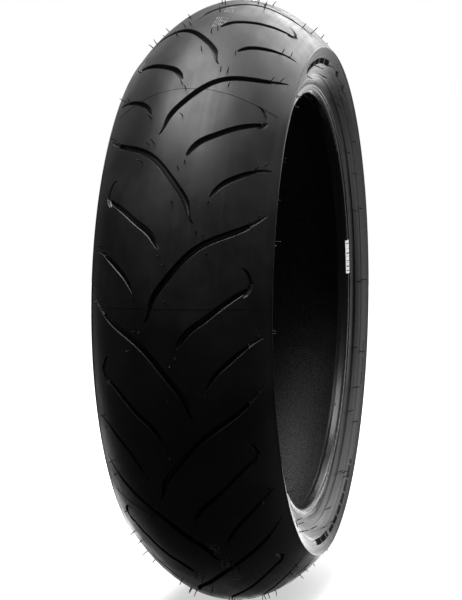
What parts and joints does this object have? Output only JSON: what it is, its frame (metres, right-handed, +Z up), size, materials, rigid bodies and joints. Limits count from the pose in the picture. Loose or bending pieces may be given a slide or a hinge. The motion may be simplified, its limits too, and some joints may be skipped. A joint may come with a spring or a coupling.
{
  "type": "motorcycle tire",
  "caption": "Radial rear motorcycle tire with curved grooves across a round crown, short sidewalls and two bead rings.",
  "frame": {"origin": "centre of the wheel, on the axle line, midway between the sidewalls", "axes": "+Y along the axle to the tire's left side, +Z up, X across the wheel"},
  "size_m": [0.63, 0.172, 0.63],
  "materials": {
    "tread_rubber": "satin black rubber, moulded grooves",
    "shoulder_rubber": "satin black rubber, softer shoulder compound",
    "base_rubber": "matte black rubber",
    "gum_rubber": "matte dark gum",
    "cord_steel": "brass plated steel wire",
    "ply_fabric": "rubbered cord fabric",
    "liner_rubber": "matte, slightly grainy",
    "filler_rubber": "hard matte rubber",
    "sidewall_rubber": "satin black rubber",
    "strip_rubber": "satin black rubber",
    "chafer_rubber": "smooth black rubber",
    "label_paper": "white paper"
  },
  "bodies": {
    "root": {"tread_centre": "tread_rubber", "tread_shoulder_left": "shoulder_rubber", "tread_shoulder_right": "shoulder_rubber", "tread_base": "base_rubber", "belt_gum": "gum_rubber", "belt_cords": "cord_steel", "belt_edge_strip_left": "gum_rubber", "belt_edge_strip_right": "gum_rubber", "body_ply": "ply_fabric", "inner_liner": "liner_rubber", "bead_gum_left": "gum_rubber", "bead_gum_right": "gum_rubber", "bead_wires_left": "cord_steel", "bead_wires_right": "cord_steel", "bead_filler_left": "filler_rubber", "bead_filler_right": "filler_rubber", "sidewall_left": "sidewall_rubber", "sidewall_right": "sidewall_rubber", "rim_strip_left": "strip_rubber", "rim_strip_right": "strip_rubber", "chafer_left": "chafer_rubber", "chafer_right": "chafer_rubber", "label": "label_paper"}
  },
  "joints": []
}
